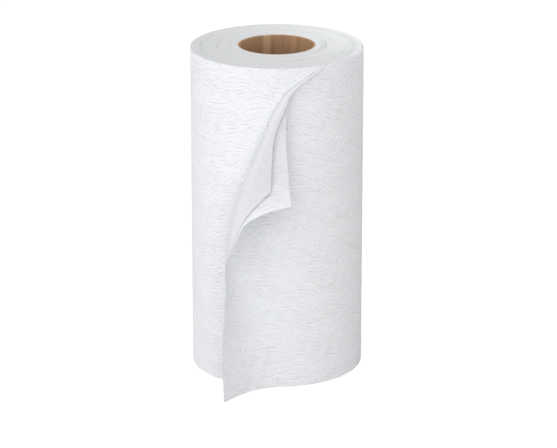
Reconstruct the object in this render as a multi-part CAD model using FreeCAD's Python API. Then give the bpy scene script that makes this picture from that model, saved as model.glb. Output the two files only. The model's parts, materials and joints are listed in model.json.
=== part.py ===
# Kitchen paper towel roll standing on its end, its loose outer sheet curled away from the roll
# Units are millimetres. The origin is the core's axis at the bottom end and +Z is up.
# The free end of the sheet is at the front (-Y), and the loose sheet starts at the right of the front.
import FreeCAD
import Part
import math
import os

# Driving sizes of the roll
ROLL_DIAMETER = 105.0
ROLL_HEIGHT = 200.0
CORE_OUTER_DIAMETER = 47.0
CORE_WALL = 1.0

# The two plies of the web and the air under the loose sheet
PLY = 0.25
PLY_GAP = 0.15
LOOSE_AIR = 0.3
ROOT_COVER = 0.05

# Where the loose sheet leaves the wound roll, in degrees left of the front, and how far its root is held
ROOT_ANGLE = -48.0
ROOT_HOLD_ANGLE = -50.0

# Turn lines pressed into both ends of the roll, their cutters standing a little proud of the end
END_LINES = 4
END_LINE_WIDTH = 0.7
END_LINE_DEPTH = 0.45
END_LINE_MARGIN = 2.2
CUTTER_STAND = 0.2

# The curl of the sheet at some shares of its width up from the bottom edge:
# (share, angle where it lifts off, curl radius, angle it turns), angles in degrees
CURL = [
    (0.0, -4.0, 35.0, 42.0),
    (0.15, 1.0, 27.0, 52.0),
    (0.3, 8.0, 18.5, 75.0),
    (0.4, 13.5, 15.0, 110.0),
    (0.5, 16.4, 11.2, 155.0),
    (0.57, 16.0, 9.0, 173.0),
    (0.645, 13.3, 7.0, 180.0),
    (0.725, 8.0, 5.5, 180.0),
    (0.8, 3.0, 4.4, 180.0),
    (0.875, -2.6, 3.2, 180.0),
    (0.94, -11.5, 2.0, 180.0),
    (1.0, -32.0, 1.1, 180.0),
]

# How far each ply runs on past its curl, below and above its loose corner: (share of the width, length)
INNER_BELOW = [(0.0, 19.0), (0.15, 18.0), (0.3, 11.5), (0.4, 2.5), (0.5, 1.0), (0.57, 3.0), (0.645, 12.0)]
INNER_ABOVE = [(0.645, 12.0), (0.725, 6.0), (0.8, 1.8), (0.875, 1.6), (0.94, 0.4), (1.0, 0.3)]
OUTER_BELOW = INNER_BELOW[:3] + [(0.4, 3.0), (0.5, 2.0), (0.55, 4.5), (0.585, 15.0), (0.602, 27.0)]
OUTER_ABOVE = [(0.602, 27.0), (0.645, 22.5), (0.725, 14.8), (0.8, 8.6), (0.875, 3.9), (0.94, 1.0), (1.0, 0.3)]

# The outer ply curls a little tighter than the inner one round the corner, so the two part there
PLY_PARTING = 0.9
PARTING = [(0.0, 0.0), (0.5, 0.0), (0.6, PLY_PARTING / 3), (0.7, PLY_PARTING), (0.85, PLY_PARTING), (1.0, 0.0)]

# Chords along each stretch of a section, and the height between sections
HELD_CHORDS = 9
CURL_CHORDS = 8
RUN_CHORDS = 2
SECTION_STEP = 18.0

# Sizes that follow from the driving ones
ROLL_RADIUS = ROLL_DIAMETER / 2
CORE_OUTER_RADIUS = CORE_OUTER_DIAMETER / 2
STEP = ROOT_COVER + 2 * PLY + PLY_GAP + LOOSE_AIR
OUTER_PLY_RADIUS = ROLL_RADIUS - ROOT_COVER - PLY / 2
INNER_PLY_RADIUS = OUTER_PLY_RADIUS - PLY - PLY_GAP


def vector(x, y, z):
    return FreeCAD.Vector(x, y, z)


def direction(angle):
    """Unit vector in plan at an angle in degrees left of the front."""
    turn = math.radians(angle)
    return vector(-math.sin(turn), -math.cos(turn), 0)


def turned(v, angle):
    """A plan vector turned anticlockwise by an angle in radians."""
    c, s = math.cos(angle), math.sin(angle)
    return vector(v.x * c - v.y * s, v.x * s + v.y * c, 0)


def smooth(table, share):
    """Value of a (share, value) table at a share of the sheet's width, on a cubic through its points."""
    slopes = []
    for i in range(len(table)):
        low, high = table[max(i - 1, 0)], table[min(i + 1, len(table) - 1)]
        slopes.append((high[1] - low[1]) / (high[0] - low[0]))
    for i in range(len(table) - 1):
        (s0, v0), (s1, v1) = table[i], table[i + 1]
        if share <= s1 or i == len(table) - 2:
            span = s1 - s0
            t = (share - s0) / span
            return (
                v0 * (2 * t**3 - 3 * t**2 + 1)
                + slopes[i] * span * (t**3 - 2 * t**2 + t)
                + v1 * (3 * t**2 - 2 * t**3)
                + slopes[i + 1] * span * (t**3 - t**2)
            )


def face_line(share, run, ply_radius, tighter, offset):
    """Points of one face of a ply at a height: round the roll, round the curl and on past it."""
    lift, curl, turn = [smooth([(row[0], row[k]) for row in CURL], share) for k in (1, 2, 3)]
    curl += INNER_PLY_RADIUS - ply_radius - tighter
    out = direction(lift)
    centre = out * (ply_radius + curl)
    past_radius = ply_radius + 2 * curl
    points = []
    for i in range(HELD_CHORDS):
        angle = ROOT_HOLD_ANGLE + (lift - ROOT_HOLD_ANGLE) * i / HELD_CHORDS
        points.append(direction(angle) * (ply_radius + offset))
    for i in range(CURL_CHORDS + 1):
        spoke = turned(out, math.radians(turn) * i / CURL_CHORDS) * -1
        points.append(centre + spoke * (curl - offset))
    past_centre = centre + spoke * (curl - past_radius)
    for i in range(1, RUN_CHORDS + 1):
        past_spoke = turned(spoke, run / past_radius * i / RUN_CHORDS)
        points.append(past_centre + past_spoke * (past_radius - offset))
    return [point + vector(0, 0, share * ROLL_HEIGHT) for point in points]


def section(share, run, ply_radius, tighter):
    """Closed outline of a ply at a height."""
    inner = face_line(share, run, ply_radius, tighter, -PLY / 2)
    outer = face_line(share, run, ply_radius, tighter, PLY / 2)
    return Part.makePolygon(inner + outer[::-1] + inner[:1])


def ply_part(runs, ply_radius, parts):
    """One ply over the heights of a table of runs, as a loft through its sections."""
    low, high = runs[0][0], runs[-1][0]
    count = math.ceil((high - low) * ROLL_HEIGHT / SECTION_STEP)
    sections = []
    for i in range(count + 1):
        share = low + (high - low) * i / count
        tighter = smooth(PARTING, share) if parts else 0.0
        sections.append(section(share, smooth(runs, share), ply_radius, tighter))
    return Part.makeLoft(sections, True, True)


def half_turn(radius, centre, start, height):
    """Half circle in plan, from a plan direction anticlockwise seen from above."""
    middle = vector(-start.y, start.x, 0)
    points = [centre + start * radius, centre + middle * radius, centre - start * radius]
    return Part.Arc(*[p + vector(0, 0, height) for p in points]).toShape()


def wound_body():
    """Wound turns as one solid, its side a spiral that steps down at the root of the loose sheet."""
    root = direction(ROOT_ANGLE)
    first = half_turn(ROLL_RADIUS - STEP * 3 / 4, root * (-STEP / 4), root * -1, 0)
    second = half_turn(ROLL_RADIUS - STEP / 4, root * (STEP / 4), root, 0)
    step = Part.makeLine(root * (ROLL_RADIUS - STEP), root * ROLL_RADIUS)
    outline = Part.Wire(Part.__sortEdges__([first, step, second]))
    body = Part.Face(outline).extrude(vector(0, 0, ROLL_HEIGHT))
    return body.cut(Part.makeCylinder(CORE_OUTER_RADIUS, ROLL_HEIGHT))


def end_lines(height, inward):
    """Spiral groove in one end, made of half turns about two centres."""
    first_radius = CORE_OUTER_RADIUS + END_LINE_MARGIN
    last_radius = ROLL_RADIUS - STEP - END_LINE_MARGIN
    pitch = (last_radius - first_radius) / END_LINES
    root = direction(ROOT_ANGLE)
    grooves = []
    for half in range(2 * END_LINES):
        side = 1 if half % 2 == 0 else -1
        radius = first_radius + pitch * (half / 2 + 0.25)
        centre = root * (-side * pitch / 4)
        start = root * side
        rim = vector(0, 0, height - inward * CUTTER_STAND)
        deep = vector(0, 0, height + inward * END_LINE_DEPTH)
        reach = END_LINE_WIDTH / 2 * (1 + CUTTER_STAND / END_LINE_DEPTH)
        corners = [
            centre + start * (radius - reach) + rim,
            centre + start * (radius + reach) + rim,
            centre + start * radius + deep,
        ]
        profile = Part.Face(Part.makePolygon(corners + corners[:1]))
        grooves.append(profile.revolve(centre, vector(0, 0, 1), 180))
    return grooves


def towel_web():
    """Both plies of the loose sheet fused to the wound turns they come from."""
    plies = [
        ply_part(INNER_BELOW, INNER_PLY_RADIUS, False),
        ply_part(INNER_ABOVE, INNER_PLY_RADIUS, False),
        ply_part(OUTER_BELOW, OUTER_PLY_RADIUS, True),
        ply_part(OUTER_ABOVE, OUTER_PLY_RADIUS, True),
    ]
    body = wound_body().cut(end_lines(0, 1) + end_lines(ROLL_HEIGHT, -1))
    return body.fuse(plies)


def cardboard_core():
    tube = Part.makeCylinder(CORE_OUTER_RADIUS, ROLL_HEIGHT)
    return tube.cut(Part.makeCylinder(CORE_OUTER_RADIUS - CORE_WALL, ROLL_HEIGHT))


os.makedirs("parts", exist_ok=True)
for name, make in (("cardboard_core", cardboard_core), ("towel_web", towel_web)):
    shape = make()
    if len(shape.Solids) == 1:
        shape = shape.Solids[0]
    shape.exportStep("parts/" + name + ".step")
    print(name, "valid", shape.isValid(), "solids", len(shape.Solids), "faces", len(shape.Faces), shape.BoundBox)
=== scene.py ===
# Kitchen paper towel roll standing on its end, its loose outer sheet curled away from the roll
import bpy
import bmesh
import json
import math
import numpy as np
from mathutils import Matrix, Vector


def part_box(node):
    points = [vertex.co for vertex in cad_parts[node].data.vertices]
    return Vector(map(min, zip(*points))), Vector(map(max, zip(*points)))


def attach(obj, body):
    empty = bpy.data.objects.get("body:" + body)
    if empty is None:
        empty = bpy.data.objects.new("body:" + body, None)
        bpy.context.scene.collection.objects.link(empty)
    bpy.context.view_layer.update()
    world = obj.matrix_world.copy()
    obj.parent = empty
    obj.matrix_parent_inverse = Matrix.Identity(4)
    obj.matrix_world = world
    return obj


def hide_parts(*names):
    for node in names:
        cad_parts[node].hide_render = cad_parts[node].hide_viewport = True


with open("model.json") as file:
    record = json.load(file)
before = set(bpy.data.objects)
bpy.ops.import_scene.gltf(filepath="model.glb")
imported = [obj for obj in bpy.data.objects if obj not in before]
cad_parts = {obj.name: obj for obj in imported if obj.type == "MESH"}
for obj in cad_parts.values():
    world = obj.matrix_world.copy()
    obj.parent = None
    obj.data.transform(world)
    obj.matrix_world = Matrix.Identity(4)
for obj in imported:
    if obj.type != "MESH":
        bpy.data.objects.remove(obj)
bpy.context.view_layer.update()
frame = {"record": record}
scene = bpy.context.scene

# Cardboard tube
# Grey-brown board rolled round and glued where it laps, cut square at both ends.
# Inside, the lap stands in a little as a band that runs straight up, painted paler as a highlight.
tube_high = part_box("cardboard_core")[1]
ROLL_HEIGHT = tube_high.z
TUBE_RADIUS = tube_high.x
TUBE_BORE = frame["record"]["mounts"][0]["dims"]["r_mm"] / 1000
TUBE_EDGE_ROUND = 0.00025
TUBE_RAISED = 0.0009
TUBE_STEPS = 160
TUBE_RISE = 0.00125
SHARP_EDGE = math.radians(40)
TINY = 1e-6
LAP_ANGLE = math.radians(105.5)
LAP_WIDTH = 0.0048
LAP_EDGE = 0.0009
LAP_HEIGHT = 0.0002
BOARD_DARK = (0.36, 0.21, 0.113, 1)
BOARD_PALE = (0.49, 0.308, 0.178, 1)
# Painted highlight: the paler colour of the lap band on the tube's inner wall.
BOARD_LAP_HIGHLIGHT = (0.52, 0.34, 0.205, 1)
FIBRE_STRETCH = (1.0, 1.0, 0.12)


def add_piece(name, bm, material):
    """Links a finished mesh as a piece of the part, smooth with sharp edges where it turns hard."""
    bmesh.ops.recalc_face_normals(bm, faces=bm.faces[:])
    for face in bm.faces:
        face.smooth = True
    for edge in bm.edges:
        edge.smooth = edge.calc_face_angle(0) < SHARP_EDGE
    mesh = bpy.data.meshes.new(name)
    bm.to_mesh(mesh)
    bm.free()
    piece = bpy.data.objects.new(name, mesh)
    scene.collection.objects.link(piece)
    mesh.materials.append(material)
    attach(piece, "root")
    return piece


def new_material(name):
    """A material with its Principled shader, ready for links."""
    material = bpy.data.materials.new(name)
    material.use_nodes = True
    return material, material.node_tree.nodes, material.node_tree.links


def kraft_board():
    """Pressed recycled board: brown with pale and dark streaks, and a painted highlight as a paler band
    where it laps.
    """
    material, nodes, links = new_material("kraft_board")
    shader = nodes["Principled BSDF"]
    place = nodes.new("ShaderNodeTexCoord")
    stretch = nodes.new("ShaderNodeMapping")
    stretch.inputs["Scale"].default_value = FIBRE_STRETCH
    fibres = nodes.new("ShaderNodeTexNoise")
    fibres.inputs["Scale"].default_value = 420
    fibres.inputs["Detail"].default_value = 6
    clouds = nodes.new("ShaderNodeTexNoise")
    clouds.inputs["Scale"].default_value = 60
    tones = nodes.new("ShaderNodeValToRGB")
    tones.color_ramp.elements[0].position = 0.3
    tones.color_ramp.elements[0].color = BOARD_DARK
    tones.color_ramp.elements[1].position = 0.72
    tones.color_ramp.elements[1].color = BOARD_PALE
    cloud_mix = nodes.new("ShaderNodeMix")
    cloud_mix.data_type = "RGBA"
    cloud_mix.blend_type = "MULTIPLY"
    cloud_mix.inputs[0].default_value = 0.2
    lap_and_highlight = nodes.new("ShaderNodeAttribute")
    lap_and_highlight.attribute_name = "lap_and_highlight"
    lap_highlight_mix = nodes.new("ShaderNodeMix")
    lap_highlight_mix.data_type = "RGBA"
    lap_highlight_mix.inputs[7].default_value = BOARD_LAP_HIGHLIGHT
    bump = nodes.new("ShaderNodeBump")
    bump.inputs["Distance"].default_value = 0.0003
    bump.inputs["Strength"].default_value = 0.5
    links.new(place.outputs["Object"], stretch.inputs["Vector"])
    links.new(stretch.outputs[0], fibres.inputs["Vector"])
    links.new(place.outputs["Object"], clouds.inputs["Vector"])
    links.new(fibres.outputs["Fac"], tones.inputs["Fac"])
    links.new(tones.outputs["Color"], cloud_mix.inputs[6])
    links.new(clouds.outputs["Color"], cloud_mix.inputs[7])
    links.new(lap_and_highlight.outputs["Fac"], lap_highlight_mix.inputs[0])
    links.new(cloud_mix.outputs[2], lap_highlight_mix.inputs[6])
    links.new(lap_highlight_mix.outputs[2], shader.inputs["Base Color"])
    links.new(fibres.outputs["Fac"], bump.inputs["Height"])
    links.new(bump.outputs["Normal"], shader.inputs["Normal"])
    shader.inputs["Roughness"].default_value = 0.85
    return material


TUBE_TOP = ROLL_HEIGHT + TUBE_RAISED
tube_rows = round(ROLL_HEIGHT / TUBE_RISE)
tube = bmesh.new()
wall = bmesh.ops.create_grid(tube, x_segments=1, y_segments=tube_rows, size=0.5)["verts"]
for vert in wall:
    radius = TUBE_RADIUS if vert.co.x > 0 else TUBE_BORE
    vert.co = Vector((radius, 0, (vert.co.y + 0.5) * TUBE_TOP))
outline = [edge for edge in tube.edges if edge.is_boundary]
bmesh.ops.delete(tube, geom=tube.faces[:], context="FACES_ONLY")
rungs = [edge for edge in tube.edges if edge not in outline]
bmesh.ops.delete(tube, geom=rungs, context="EDGES")
profile = tube.edges[:] + tube.verts[:]
bmesh.ops.spin(tube, geom=profile, axis=(0, 0, 1), angle=math.tau, steps=TUBE_STEPS, use_merge=True)
bmesh.ops.remove_doubles(tube, verts=tube.verts[:], dist=TINY)
corners = []
for edge in tube.edges:
    start, end = (vert.co for vert in edge.verts)
    level = max(start.z, end.z) < TINY or min(start.z, end.z) > TUBE_TOP - TINY
    if level and abs(start.xy.length - end.xy.length) < TINY:
        corners.append(edge)
bmesh.ops.bevel(
    tube, geom=corners, offset=TUBE_EDGE_ROUND, affect="EDGES", segments=2, profile=0.5, material=-1
)
lap_and_highlight_layer = tube.verts.layers.float.new("lap_and_highlight")
for vert in tube.verts:
    off = abs(math.atan2(vert.co.y, vert.co.x) - LAP_ANGLE) * TUBE_BORE
    lap_and_highlight = min(max((LAP_WIDTH / 2 - off) / LAP_EDGE + 0.5, 0), 1)
    if vert.co.xy.length < (TUBE_RADIUS + TUBE_BORE) / 2:
        vert[lap_and_highlight_layer] = lap_and_highlight
        vert.co.xy *= 1 - LAP_HEIGHT * lap_and_highlight / TUBE_BORE
cardboard_tube = add_piece("cardboard_tube", tube, kraft_board())
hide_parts("cardboard_core")

# Wound turns
# Some sixty turns of soft two-ply tissue under the last one, wound on the tube and cut square.
# Their edges show on both ends as fine uneven lines, a few of them deeper than the rest.
ROLL_RADIUS = 0.0525
LOOSE_DEPTH = 0.00085
LAST_TURN = 0.0008
STEP_ANGLE = -95.0
TURN_LINES = 38
RINGS_PER_LINE = 3
TURN_STEPS = 240
LINE_DEPTH = 0.00018
DEEP_LINES = 6
DEEP_LINE_DEPTH = 0.0004
EVEN_SHARE = 0.55
SWELL_KINDS = 3
SWELL_START = 2.4
# Painted shade: the cut ends are a darker grey copy of the side's tissue, so the top end shows less lit
# than the side.
SHADED_END_TONE = (0.57, 0.58, 0.59, 1)
CUT_FIBRE_HEIGHT = 0.8
STROKE_DEPTH = 0.00022


def side_radius(angle):
    """Radius of the last wound turn at an angle in degrees left of the front, a spiral with one step."""
    return ROLL_RADIUS - LOOSE_DEPTH * (((STEP_ANGLE - angle) % 360) / 360)


# The pattern's sizes in millimetres, and how thin its strokes are in the material and in the mesh
MOTIF_COLUMN = 31.0
MOTIF_ROW = 20.5
STROKE_SPACING = 2.6
FAN_REACH = 9.6
FAN_FLATNESS = 0.46
FAN_RISE = MOTIF_ROW * 0.22
FAN_EYE = 1.6
FAN_EDGE_SLOPE = 0.1
FAN_EDGE = (-0.4, 0.9)
CHEVRON_SPACING = STROKE_SPACING * 1.2
CHEVRON_SLANT = 0.8
CHEVRON_INNER = 1.2
CHEVRON_OUTER = 8.6
RIPPLE_SPACING = STROKE_SPACING * 0.9
RIPPLE_BEND = 26.0
FADE = 0.8
SHORT_FADE = 0.6
FINE_STROKES = 0.68
SOFT_STROKES = -0.5

# Waves over the web, each by mm along, mm up and start: a long and a short one to warp each way,
# and two that break the strokes where they are both low
WARP = 0.9
FINE_WARP = WARP / 3
WARPS_ALONG = ((71.0, 23.0, 0.0), (-13.0, 17.0, 2.1))
WARPS_UP = ((37.0, -59.0, 1.0), (11.0, 19.0, 0.4))
BREAK_WAVES = ((9.7, 31.0, 0.7), (-15.3, 8.1, 1.9))
BREAK_EDGE = (-0.75, -0.25)


def pressed(do, u, v, sharp):
    """Strokes at a place on the web in mm: warped fans, chevrons between them and ripples round both."""
    def wave(along, up, start, size):
        place = do("ADD", do("DIVIDE", u, along), do("DIVIDE", v, up))
        return do("MULTIPLY", do("SINE", do("MULTIPLY_ADD", place, math.tau, start)), size)

    def fade(value, low, high):
        t = do("MULTIPLY_ADD", value, 1 / (high - low), -low / (high - low))
        t = do("MINIMUM", do("MAXIMUM", t, 0.0), 1.0)
        return do("MULTIPLY", do("MULTIPLY", t, t), do("MULTIPLY_ADD", t, -2.0, 3.0))

    def lines(distance, spacing):
        return fade(do("COSINE", do("MULTIPLY", distance, math.tau / spacing)), sharp, 1.0)

    def warped(value, waves):
        return do("ADD", do("ADD", value, wave(*waves[0], WARP)), wave(*waves[1], FINE_WARP))

    x_place = warped(u, WARPS_ALONG)
    y_place = warped(v, WARPS_UP)
    row_place = do("DIVIDE", y_place, MOTIF_ROW)
    row = do("FLOOR", row_place)
    odd = do("FLOORED_MODULO", row, 2.0)
    column_place = do("ADD", do("DIVIDE", x_place, MOTIF_COLUMN), do("MULTIPLY", odd, 0.5))
    column = do("FLOOR", column_place)
    way = do("MULTIPLY_ADD", do("FLOORED_MODULO", do("ADD", column, row), 2.0), -2.0, 1.0)
    x = do("MULTIPLY", do("SUBTRACT", do("FRACT", column_place), 0.5), MOTIF_COLUMN)
    y = do("MULTIPLY", do("SUBTRACT", do("FRACT", row_place), 0.5), MOTIF_ROW)

    raised = do("MULTIPLY_ADD", y, way, FAN_RISE)
    flat_x = do("MULTIPLY", x, FAN_FLATNESS)
    far = do("SQRT", do("ADD", do("MULTIPLY", flat_x, flat_x), do("MULTIPLY", raised, raised)))
    low_edge = do("MULTIPLY", do("ABSOLUTE", x), FAN_EDGE_SLOPE)
    fan_side = fade(do("SUBTRACT", raised, low_edge), *FAN_EDGE)
    fan_area = do("MULTIPLY", fan_side, fade(far, FAN_REACH, FAN_REACH - FADE))
    fan_ring = do("MULTIPLY", fan_area, fade(far, FAN_EYE, FAN_EYE + FADE))
    fan = do("MULTIPLY", lines(far, STROKE_SPACING), fan_ring)

    side_x = do("SUBTRACT", do("ABSOLUTE", x), MOTIF_COLUMN / 2)
    side_far = do("SQRT", do("ADD", do("MULTIPLY", side_x, side_x), do("MULTIPLY", y, y)))
    side_inner = fade(side_far, CHEVRON_INNER, CHEVRON_INNER + SHORT_FADE)
    side_area = do("MULTIPLY", side_inner, fade(side_far, CHEVRON_OUTER, CHEVRON_OUTER - FADE))
    slanted = do("ADD", do("MULTIPLY", side_x, CHEVRON_SLANT), do("MULTIPLY", y, way))
    beside_fan = do("SUBTRACT", 1.0, fan_area)
    chevron = do("MULTIPLY", do("MULTIPLY", lines(slanted, CHEVRON_SPACING), side_area), beside_fan)

    bent = do("DIVIDE", do("MULTIPLY", x, x), 2 * RIPPLE_BEND)
    ripple = lines(do("ADD", do("MULTIPLY", y, way), bent), RIPPLE_SPACING)
    clear = do("MULTIPLY", beside_fan, fade(side_far, CHEVRON_OUTER, CHEVRON_OUTER + SHORT_FADE))
    ripple = do("MULTIPLY", ripple, clear)

    breaks = do("ADD", wave(*BREAK_WAVES[0], 1.0), wave(*BREAK_WAVES[1], 1.0))
    kept = fade(breaks, *BREAK_EDGE)
    strokes = do("MULTIPLY", do("MAXIMUM", fan, do("MAXIMUM", chevron, ripple)), kept)
    return strokes, fan_area, kept


def pressed_group():
    """The pressed strokes as shader nodes, from the web's own coordinates in millimetres."""
    group = bpy.data.node_groups.new("pressed_web", "ShaderNodeTree")
    group.interface.new_socket("Web", in_out="INPUT", socket_type="NodeSocketVector")
    group.interface.new_socket("Strokes", in_out="OUTPUT", socket_type="NodeSocketFloat")
    nodes, links = group.nodes, group.links
    start, end = nodes.new("NodeGroupInput"), nodes.new("NodeGroupOutput")
    parts = nodes.new("ShaderNodeSeparateXYZ")
    links.new(start.outputs["Web"], parts.inputs[0])

    def add_node(operation, *terms):
        node = nodes.new("ShaderNodeMath")
        node.operation = operation
        for socket, term in zip(node.inputs, terms):
            if isinstance(term, float):
                socket.default_value = term
            else:
                links.new(term, socket)
        return node.outputs[0]

    strokes = pressed(add_node, parts.outputs["X"], parts.outputs["Y"], FINE_STROKES)[0]
    links.new(strokes, end.inputs["Strokes"])
    return group


def tissue_group():
    """Soft white tissue: the pressed pattern with a painted highlight along its strokes, and fine fibres.
    """
    group = bpy.data.node_groups.new("tissue", "ShaderNodeTree")
    for name, way, kind in (
        ("Tone", "INPUT", "NodeSocketColor"),
        ("Web", "INPUT", "NodeSocketVector"),
        ("Pressed", "INPUT", "NodeSocketFloat"),
        ("Stroke Highlight", "INPUT", "NodeSocketFloat"),
        ("Fibre Height", "INPUT", "NodeSocketFloat"),
        ("Color", "OUTPUT", "NodeSocketColor"),
        ("Roughness", "OUTPUT", "NodeSocketFloat"),
        ("Normal", "OUTPUT", "NodeSocketVector"),
    ):
        group.interface.new_socket(name, in_out=way, socket_type=kind)
    nodes, links = group.nodes, group.links
    start, end = nodes.new("NodeGroupInput"), nodes.new("NodeGroupOutput")
    pattern = nodes.new("ShaderNodeGroup")
    pattern.node_tree = pressed_group()
    place = nodes.new("ShaderNodeTexCoord")
    fibres = nodes.new("ShaderNodeTexNoise")
    fibres.inputs["Scale"].default_value = 1000
    fibres.inputs["Detail"].default_value = 4
    patches = nodes.new("ShaderNodeTexNoise")
    patches.inputs["Scale"].default_value = 45
    strokes = nodes.new("ShaderNodeMath")
    strokes.operation = "MULTIPLY"
    # Painted highlight: the strokes' cores are made paler, then added to the fibre speckle.
    highlight = nodes.new("ShaderNodeMath")
    highlight.operation = "MULTIPLY"
    speckle = nodes.new("ShaderNodeMapRange")
    speckle.inputs["To Min"].default_value = 0.975
    speckle.inputs["To Max"].default_value = 1.015
    speckle_and_highlight = nodes.new("ShaderNodeMath")
    speckle_and_highlight.operation = "ADD"
    tint = nodes.new("ShaderNodeMix")
    tint.data_type = "RGBA"
    tint.blend_type = "MULTIPLY"
    tint.inputs[0].default_value = 1
    rough = nodes.new("ShaderNodeMapRange")
    rough.inputs["To Min"].default_value = 0.9
    rough.inputs["To Max"].default_value = 1.0
    lowered = nodes.new("ShaderNodeMath")
    lowered.operation = "MULTIPLY"
    lowered.inputs[1].default_value = -1
    height = nodes.new("ShaderNodeMath")
    height.operation = "MULTIPLY_ADD"
    bump = nodes.new("ShaderNodeBump")
    bump.inputs["Distance"].default_value = STROKE_DEPTH
    links.new(start.outputs["Web"], pattern.inputs["Web"])
    links.new(pattern.outputs["Strokes"], strokes.inputs[0])
    links.new(start.outputs["Pressed"], strokes.inputs[1])
    links.new(place.outputs["Object"], fibres.inputs["Vector"])
    links.new(place.outputs["Object"], patches.inputs["Vector"])
    links.new(strokes.outputs[0], highlight.inputs[0])
    links.new(start.outputs["Stroke Highlight"], highlight.inputs[1])
    links.new(fibres.outputs["Fac"], speckle.inputs["Value"])
    links.new(speckle.outputs["Result"], speckle_and_highlight.inputs[0])
    links.new(highlight.outputs[0], speckle_and_highlight.inputs[1])
    links.new(start.outputs["Tone"], tint.inputs[6])
    links.new(speckle_and_highlight.outputs[0], tint.inputs[7])
    links.new(tint.outputs[2], end.inputs["Color"])
    links.new(patches.outputs["Fac"], rough.inputs["Value"])
    links.new(rough.outputs["Result"], end.inputs["Roughness"])
    links.new(fibres.outputs["Fac"], height.inputs[0])
    links.new(start.outputs["Fibre Height"], height.inputs[1])
    links.new(strokes.outputs[0], lowered.inputs[0])
    links.new(lowered.outputs[0], height.inputs[2])
    links.new(height.outputs[0], bump.inputs["Height"])
    links.new(bump.outputs["Normal"], end.inputs["Normal"])
    return group


TISSUE = tissue_group()


def tissue(name, tone, stroke_highlight, fibre_height):
    """A tissue material from the shared group, with this piece's own tone and relief."""
    material, nodes, links = new_material(name)
    shader = nodes["Principled BSDF"]
    look = nodes.new("ShaderNodeGroup")
    look.node_tree = TISSUE
    look.inputs["Tone"].default_value = tone
    look.inputs["Stroke Highlight"].default_value = stroke_highlight
    look.inputs["Fibre Height"].default_value = fibre_height
    web = nodes.new("ShaderNodeUVMap")
    web.uv_map = "web"
    pressed_depth = nodes.new("ShaderNodeAttribute")
    pressed_depth.attribute_name = "pressed"
    links.new(web.outputs["UV"], look.inputs["Web"])
    links.new(pressed_depth.outputs["Fac"], look.inputs["Pressed"])
    links.new(look.outputs["Color"], shader.inputs["Base Color"])
    links.new(look.outputs["Roughness"], shader.inputs["Roughness"])
    links.new(look.outputs["Normal"], shader.inputs["Normal"])
    shader.inputs["Specular IOR Level"].default_value = 0.1
    return material


def angle_of(point):
    """Angle of a point round the roll, in degrees left of the front."""
    return math.degrees(math.atan2(-point.x, -point.y))


rng = np.random.default_rng(7)
line_depths = LINE_DEPTH * (0.5 + rng.random(TURN_LINES + 2))
for deep in rng.choice(TURN_LINES, DEEP_LINES, replace=False):
    line_depths[deep] = DEEP_LINE_DEPTH
turns = bmesh.new()
bmesh.ops.create_circle(turns, segments=TURN_STEPS, radius=1)
for vert in turns.verts:
    vert.co.z = 1
ring = turns.edges[:]
wound = turns.verts.layers.int.new("wound")


def carry(ring, count, rise):
    """Extrudes a ring of edges to a new count of rings from the tube, raised or lowered."""
    made = bmesh.ops.extrude_edge_only(turns, edges=ring)["geom"]
    for vert in made:
        if isinstance(vert, bmesh.types.BMVert):
            vert[wound] = count
            vert.co.z += rise
    return [edge for edge in made if isinstance(edge, bmesh.types.BMEdge)]


last_ring = TURN_LINES * RINGS_PER_LINE
for k in range(1, last_ring + 1):
    ring = carry(ring, k, 0)
ring = carry(ring, last_ring, -1)
for k in range(last_ring - 1, -1, -1):
    ring = carry(ring, k, 0)
ring = carry(ring, 0, 1)
for vert in turns.verts:
    angle = angle_of(vert.co)
    share = vert[wound] / last_ring
    outer = side_radius(angle) - LAST_TURN
    radius = TUBE_RADIUS + share * (outer - TUBE_RADIUS)
    line, between = divmod(vert[wound], RINGS_PER_LINE)
    depth = 0
    if 0 < share < 1 and not between:
        swell = math.sin(math.radians(angle) * (1 + line % SWELL_KINDS) + line * SWELL_START)
        depth = line_depths[line] * (EVEN_SHARE + (1 - EVEN_SHARE) * swell)
    if vert.co.z < 0.5:
        height = depth
    else:
        height = ROLL_HEIGHT + TUBE_RAISED * (1 - share) - depth
    flat = Vector((vert.co.x, vert.co.y, 0)).normalized() * radius
    vert.co = flat + Vector((0, 0, height))
bmesh.ops.remove_doubles(turns, verts=turns.verts[:], dist=TINY / 10)
shaded_end_tissue = tissue("tissue_ends_shaded", SHADED_END_TONE, 0.0, CUT_FIBRE_HEIGHT)
wound_turns = add_piece("wound_turns", turns, shaded_end_tissue)
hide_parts("towel_web")

# Last wound turn
# The outermost full turn of the web, wound tight on the rest and pressed all over with a pattern.
# It runs from the right of the roll round the back and on under the loose sheet.
SKIN_CELL = 0.00082
PRESS_DEPTH = 0.00008
PUFF_HEIGHT = 0.00012
SIDE_TONE = (0.857, 0.867, 0.887, 1)
# Painted highlight: how much paler the stroke cores are made, standing in for the lit sides of the
# pressed relief.
STROKE_HIGHLIGHT = 0.12
FIBRE_HEIGHT = 0.3
RIM_FACING = 0.9
SUMS = {
    "ADD": np.add,
    "SUBTRACT": np.subtract,
    "MULTIPLY": np.multiply,
    "DIVIDE": np.divide,
    "MULTIPLY_ADD": lambda a, b, c: a * b + c,
    "MINIMUM": np.minimum,
    "MAXIMUM": np.maximum,
    "FLOOR": np.floor,
    "FRACT": lambda a: a - np.floor(a),
    "FLOORED_MODULO": np.mod,
    "ABSOLUTE": np.abs,
    "SQRT": np.sqrt,
    "SINE": np.sin,
    "COSINE": np.cos,
}


def relief(along, up):
    """Height of the web over its plain face: soft strokes, with the fans raised a little."""
    def do(operation, *terms):
        return SUMS[operation](*terms)

    strokes, fans, kept = pressed(do, along * 1000, up * 1000, SOFT_STROKES)
    return PUFF_HEIGHT * (fans * kept) - PRESS_DEPTH * strokes


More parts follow.
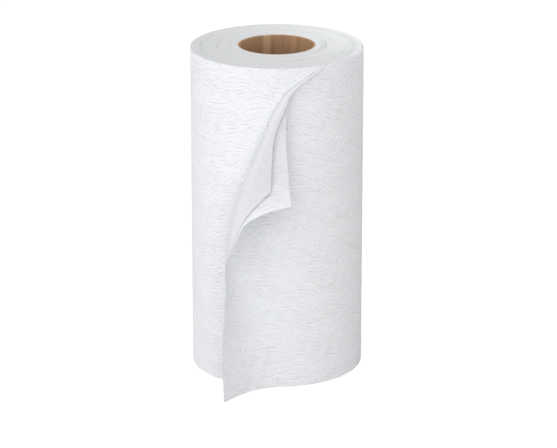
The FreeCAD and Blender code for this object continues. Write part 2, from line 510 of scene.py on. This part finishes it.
def grid_places(bm, columns, rows):
    """Makes a grid of faces and gives each vertex's share across it and up it."""
    bmesh.ops.create_grid(bm, x_segments=columns, y_segments=rows, size=0.5)
    places = np.array([vert.co[:2] for vert in bm.verts]) + 0.5
    return places[:, 0], places[:, 1]


def lay_web(bm, layer, along, up):
    """Gives each corner of the grid's faces its place on the web, in millimetres."""
    for face in bm.faces:
        for loop in face.loops:
            k = loop.vert.index
            loop[layer].uv = (float(along[k]) * 1000, float(up[k]) * 1000)


skin = bmesh.new()
skin_columns = round(math.tau * ROLL_RADIUS / SKIN_CELL)
skin_rows = round(ROLL_HEIGHT / SKIN_CELL)
across, up = grid_places(skin, skin_columns, skin_rows)
along = across * math.tau * ROLL_RADIUS
heights = relief(-along, up * ROLL_HEIGHT)
turn = np.radians(STEP_ANGLE) - across * math.tau
radii = ROLL_RADIUS - LOOSE_DEPTH * across
pressed_layer = skin.verts.layers.float.new("pressed")
web_layer = skin.loops.layers.uv.new("web")
for vert, angle, radius, height, rise in zip(skin.verts, turn, radii, heights, up):
    reach = radius + float(height)
    vert.co = Vector((-math.sin(angle) * reach, -math.cos(angle) * reach, rise * ROLL_HEIGHT))
    vert[pressed_layer] = 1
lay_web(skin, web_layer, -along, up * ROLL_HEIGHT)
open_edges = [edge for edge in skin.edges if edge.is_boundary]
rims = [edge for edge in open_edges if abs(edge.verts[0].co.z - edge.verts[1].co.z) < TINY]
made = bmesh.ops.extrude_edge_only(skin, edges=rims)["geom"]
for vert in made:
    if isinstance(vert, bmesh.types.BMVert):
        vert.co.xy *= 1 - LAST_TURN / ROLL_RADIUS
inner_rims = [edge for edge in made if isinstance(edge, bmesh.types.BMEdge)]
bmesh.ops.bridge_loops(skin, edges=inner_rims)
open_edges = [edge for edge in skin.edges if edge.is_boundary]
bmesh.ops.holes_fill(skin, edges=open_edges, sides=0)
side_tissue = tissue("tissue_side", SIDE_TONE, STROKE_HIGHLIGHT, FIBRE_HEIGHT)
last_turn = add_piece("last_turn", skin, side_tissue)
# The rims at both ends take the same darker tissue, with its painted shade.
last_turn.data.materials.append(shaded_end_tissue)
for face in last_turn.data.polygons:
    face.material_index = 1 if abs(face.normal.z) > RIM_FACING else 0
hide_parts("towel_web")

# Loose sheet
# The free end of the web, two thin plies that leave the roll in a curl at the front.
# Its lower corner flares out, and its upper corner is rolled back so that the plies part.
PLY = 0.00022
PLY_GAP = 0.00018
OUTER_PLY_RADIUS = ROLL_RADIUS - PLY / 2
INNER_PLY_RADIUS = OUTER_PLY_RADIUS - PLY - PLY_GAP
INNER_START_ANGLE = -90.0
PLY_CELL = 0.00078
# Painted shade: the plies' backs are darker copies of the side's tissue, so the curl and its flap show
# darker than the roll.
SHADED_BACK_TONE = (0.76, 0.77, 0.795, 1)
SHADED_INNER_TONE = (0.69, 0.7, 0.725, 1)

# The sheet's length from this angle right of the front on, which sets how many cells it has
FRONT_ANGLE = 48
FRONT_LENGTH = 0.105

# Where the curl flattens the pattern: from a share of the curl and of the width, over a further share
ROLLED_FROM, ROLLED_OVER = 0.3, 0.5
CORNER_FROM, CORNER_OVER = 0.35, 0.125

# The curl by share of the sheet's width: (share, lift angle, radius in mm, turn)
CURL = [
    (0.0, -4.0, 35.0, 42.0),
    (0.15, 1.0, 27.0, 52.0),
    (0.3, 8.0, 18.5, 75.0),
    (0.4, 13.5, 15.0, 110.0),
    (0.5, 16.4, 11.2, 155.0),
    (0.57, 16.0, 9.0, 173.0),
    (0.645, 13.3, 7.0, 180.0),
    (0.725, 8.0, 5.5, 180.0),
    (0.8, 3.0, 4.4, 180.0),
    (0.875, -2.6, 3.2, 180.0),
    (0.94, -11.5, 1.7, 180.0),
    (1.0, -32.0, 0.75, 180.0),
]

# The run past the curl by share of the width, in mm, below and above each ply's corner
INNER_BELOW = [(0.0, 19.0), (0.15, 18.0), (0.3, 11.5), (0.4, 2.5), (0.5, 1.0), (0.57, 3.0), (0.645, 12.0)]
INNER_ABOVE = [(0.645, 12.0), (0.725, 6.0), (0.8, 1.8), (0.875, 1.6), (0.94, 0.4), (1.0, 0.3)]
OUTER_BELOW = INNER_BELOW[:3] + [(0.4, 3.0), (0.5, 2.0), (0.55, 4.5), (0.585, 15.0), (0.602, 27.0)]
OUTER_ABOVE = [(0.602, 27.0), (0.645, 22.5), (0.725, 14.8), (0.8, 8.6), (0.875, 3.9)]
OUTER_ABOVE += [(0.94, 1.0), (1.0, 0.3)]

# The outer ply curls a little tighter round the corner, so that the two part there
PLY_PARTING = 0.9
PARTING = [(0.0, 0.0), (0.5, 0.0), (0.6, PLY_PARTING / 3)]
PARTING += [(0.7, PLY_PARTING), (0.85, PLY_PARTING), (1.0, 0.0)]


def smooth(table, share):
    """Values of a (share, value) table at shares of the sheet's width, on a cubic through its points."""
    knots, values = np.array(table, float).T
    low = np.maximum(np.arange(len(knots)) - 1, 0)
    high = np.minimum(np.arange(len(knots)) + 1, len(knots) - 1)
    slopes = (values[high] - values[low]) / (knots[high] - knots[low])
    i = np.clip(np.searchsorted(knots, share, side="right") - 1, 0, len(knots) - 2)
    span = knots[i + 1] - knots[i]
    t = (share - knots[i]) / span
    start = values[i] * (2 * t**3 - 3 * t**2 + 1) + slopes[i] * span * (t**3 - 2 * t**2 + t)
    return start + values[i + 1] * (3 * t**2 - 2 * t**3) + slopes[i + 1] * span * (t**3 - t**2)


def plan(angle):
    """Plan direction at angles in radians left of the front."""
    return np.stack([-np.sin(angle), -np.cos(angle)], 1)


def turned(directions, angle):
    """Plan directions turned anticlockwise."""
    c, s = np.cos(angle), np.sin(angle)
    x, y = directions.T
    return np.stack([x * c - y * s, x * s + y * c], 1)


def ply_places(across, up, start_angle, ply_radius, below, above, parts):
    """Places, outward directions, lengths along the sheet, shares of the curl and flat widths."""
    lift, curl, bend = [smooth([(row[0], row[k]) for row in CURL], up) for k in (1, 2, 3)]
    lift, bend = np.radians(lift), np.radians(bend)
    curl = curl / 1000 + INNER_PLY_RADIUS - ply_radius
    if parts:
        curl = curl - smooth(PARTING, up) / 1000
    run = np.where(up < below[-1][0], smooth(below, up), smooth(above, up)) / 1000
    start = math.radians(start_angle)
    held_length = (lift - start) * ply_radius
    curl_length = curl * bend
    s = across * (held_length + curl_length + run)
    held = np.minimum(s, held_length)
    curled = np.clip(s - held_length, 0, curl_length)
    past = np.maximum(s - held_length - curl_length, 0)
    angle = start + held / ply_radius
    out = plan(angle)
    centre = plan(lift) * (ply_radius + curl)[:, None]
    spoke = -turned(plan(lift), curled / curl)
    past_radius = ply_radius + 2 * curl
    past_centre = centre + spoke * (curl - past_radius)[:, None]
    past_spoke = turned(spoke, past / past_radius)
    on_roll, on_curl = (s <= held_length)[:, None], (past <= 0)[:, None]
    place = np.where(on_roll, out * ply_radius, np.where(on_curl, centre + spoke * curl[:, None], 0))
    place = np.where(on_curl, place, past_centre + past_spoke * past_radius[:, None])
    face = np.where(on_roll, out, np.where(on_curl, -spoke, -past_spoke))
    return place, face, s, curled / curl_length, held_length + curl_length + run


def make_ply(name, start_angle, ply_radius, below, above, parts, flattening, front, back):
    """One ply as a thin closed sheet, its pattern flattened over the curl of its rolled corner."""
    bm = bmesh.new()
    longest = FRONT_LENGTH + math.radians(abs(start_angle) - FRONT_ANGLE) * ROLL_RADIUS
    columns, rows = round(longest / PLY_CELL), round(ROLL_HEIGHT / PLY_CELL)
    across, up = grid_places(bm, columns, rows)
    place, face, s, curled, widths = ply_places(across, up, start_angle, ply_radius, below, above, parts)
    along = math.radians(start_angle - STEP_ANGLE) * ROLL_RADIUS + s
    heights = relief(along, up * ROLL_HEIGHT) - PUFF_HEIGHT
    rolled = np.clip((curled - ROLLED_FROM) / ROLLED_OVER, 0, 1)
    cornered = np.clip((up - CORNER_FROM) / CORNER_OVER, 0, 1)
    flattened = 1 - flattening * rolled * cornered
    pressed_layer = bm.verts.layers.float.new("pressed")
    flat = place + face * (heights * flattened)[:, None]
    for vert, (x, y), rise, depth in zip(bm.verts, flat, up, flattened):
        vert.co = Vector((float(x), float(y), float(rise) * ROLL_HEIGHT))
        vert[pressed_layer] = float(depth)
    lay_web(bm, bm.loops.layers.uv.new("web"), along, up * ROLL_HEIGHT)
    bmesh.ops.recalc_face_normals(bm, faces=bm.faces[:])
    for made in bmesh.ops.solidify(bm, geom=bm.faces[:], thickness=PLY)["geom"]:
        if isinstance(made, bmesh.types.BMFace):
            made.material_index = 1
    ply = add_piece(name, bm, back)
    ply.data.materials.append(front)
    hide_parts("towel_web")


# The outer ply's back, darker as painted shade where it shows in the curl.
shaded_back_tissue = tissue("tissue_back_shaded", SHADED_BACK_TONE, STROKE_HIGHLIGHT, FIBRE_HEIGHT)
make_ply(
    "outer_ply", STEP_ANGLE, OUTER_PLY_RADIUS, OUTER_BELOW, OUTER_ABOVE,
    parts=True, flattening=0.1, front=side_tissue, back=shaded_back_tissue,
)
# The inner ply's back, darker still as painted shade on the flap.
shaded_inner_tissue = tissue("tissue_inner_shaded", SHADED_INNER_TONE, STROKE_HIGHLIGHT, FIBRE_HEIGHT)
make_ply(
    "inner_ply", INNER_START_ANGLE, INNER_PLY_RADIUS, INNER_BELOW, INNER_ABOVE,
    parts=False, flattening=0.5, front=side_tissue, back=shaded_inner_tissue,
)

# Floor and backdrop
# A plain white studio floor, wide enough to be its own backdrop, that keeps the roll's soft shadow.
# It glows to the camera alone, so that it lights the paper no more than a grey floor would.
FLOOR_SIZE = 8.0
FLOOR_DROP = 0.0001
FLOOR_GREY = (0.5, 0.5, 0.5, 1)
FLOOR_GLOW = 1.2
GLOW_SHARE = 0.8
floor_mesh = bmesh.new()
bmesh.ops.create_grid(floor_mesh, x_segments=1, y_segments=1, size=FLOOR_SIZE / 2)
bmesh.ops.translate(floor_mesh, verts=floor_mesh.verts[:], vec=(0, 0, -FLOOR_DROP))
floor_material, nodes, links = new_material("studio_floor")
nodes.remove(nodes["Principled BSDF"])
matt = nodes.new("ShaderNodeBsdfDiffuse")
matt.inputs["Color"].default_value = FLOOR_GREY
glow = nodes.new("ShaderNodeEmission")
glow.inputs["Strength"].default_value = FLOOR_GLOW
path = nodes.new("ShaderNodeLightPath")
seen = nodes.new("ShaderNodeMath")
seen.operation = "MULTIPLY"
seen.inputs[1].default_value = GLOW_SHARE
blend = nodes.new("ShaderNodeMixShader")
links.new(path.outputs["Is Camera Ray"], seen.inputs[0])
links.new(seen.outputs[0], blend.inputs[0])
links.new(matt.outputs[0], blend.inputs[1])
links.new(glow.outputs[0], blend.inputs[2])
links.new(blend.outputs[0], nodes["Material Output"].inputs["Surface"])
mesh = bpy.data.meshes.new("floor")
floor_mesh.to_mesh(mesh)
floor_mesh.free()
mesh.materials.append(floor_material)
floor = bpy.data.objects.new("floor", mesh)
scene.collection.objects.link(floor)

# Light
# A pale surround that is brightest high at the front left, with a large soft lamp there too.
# One low at the front right softens the curl's shadows, and a small one lights the top end.
BRIGHT_WAY = (-0.66, -0.43, 0.62)
BRIGHT_GLOW = 0.88
SHADE_GLOW = 0.57
SHADE_SHARE = -0.6

# Each lamp's place, size and watts
LAMPS = {
    "key_lamp": ((-1.05, -0.75, 1.25), 2.6, 18),
    "fill_lamp": ((0.5, -1.55, 0.1), 0.9, 8.5),
    "top_lamp": ((0.08, 0.045, 0.3), 0.08, 0.072),
}

world = bpy.data.worlds.new("studio")
scene.world = world
world.use_nodes = True
nodes, links = world.node_tree.nodes, world.node_tree.links
surround = nodes["Background"]
surround.inputs["Color"].default_value = (1, 1, 1, 1)
way = nodes.new("ShaderNodeTexCoord")
facing = nodes.new("ShaderNodeVectorMath")
facing.operation = "DOT_PRODUCT"
facing.inputs[1].default_value = BRIGHT_WAY
glow_share = nodes.new("ShaderNodeMapRange")
glow_share.inputs["From Min"].default_value = SHADE_SHARE
glow_share.inputs["To Min"].default_value = SHADE_GLOW
glow_share.inputs["To Max"].default_value = BRIGHT_GLOW
backdrop = nodes.new("ShaderNodeBackground")
path = nodes.new("ShaderNodeLightPath")
choose = nodes.new("ShaderNodeMixShader")
links.new(way.outputs["Generated"], facing.inputs[0])
links.new(facing.outputs["Value"], glow_share.inputs["Value"])
links.new(glow_share.outputs["Result"], surround.inputs["Strength"])
links.new(path.outputs["Is Camera Ray"], choose.inputs[0])
links.new(surround.outputs[0], choose.inputs[1])
links.new(backdrop.outputs[0], choose.inputs[2])
links.new(choose.outputs[0], nodes["World Output"].inputs["Surface"])


def soft_lamp(name, place, size, watts):
    """A square lamp aimed at the middle of the roll."""
    lamp = bpy.data.lights.new(name, "AREA")
    lamp.size = size
    lamp.energy = watts
    holder = bpy.data.objects.new(name, lamp)
    holder.location = place
    aim = Vector((0, 0, ROLL_HEIGHT / 2)) - Vector(place)
    holder.rotation_euler = aim.to_track_quat("-Z", "Y").to_euler()
    holder.visible_camera = False
    scene.collection.objects.link(holder)


for name, (place, size, watts) in LAMPS.items():
    soft_lamp(name, place, size, watts)

# Camera
# As the photograph was taken, a little above the roll and looking down at it.
# The lens is long, so that the roll's two ends show at nearly the same scale.
CAMERA_PLACE = (0.0011, -1.7414, 0.66675)
CAMERA_PITCH = 18.42
CAMERA_LENS = 192.93
CAMERA_REACH = 50
camera_data = bpy.data.cameras.new("camera")
camera_data.lens = CAMERA_LENS
camera_data.clip_end = CAMERA_REACH
camera = bpy.data.objects.new("camera", camera_data)
camera.location = CAMERA_PLACE
camera.rotation_euler = (math.radians(90 - CAMERA_PITCH), 0, 0)
scene.collection.objects.link(camera)
scene.camera = camera
scene.view_settings.view_transform = "Standard"
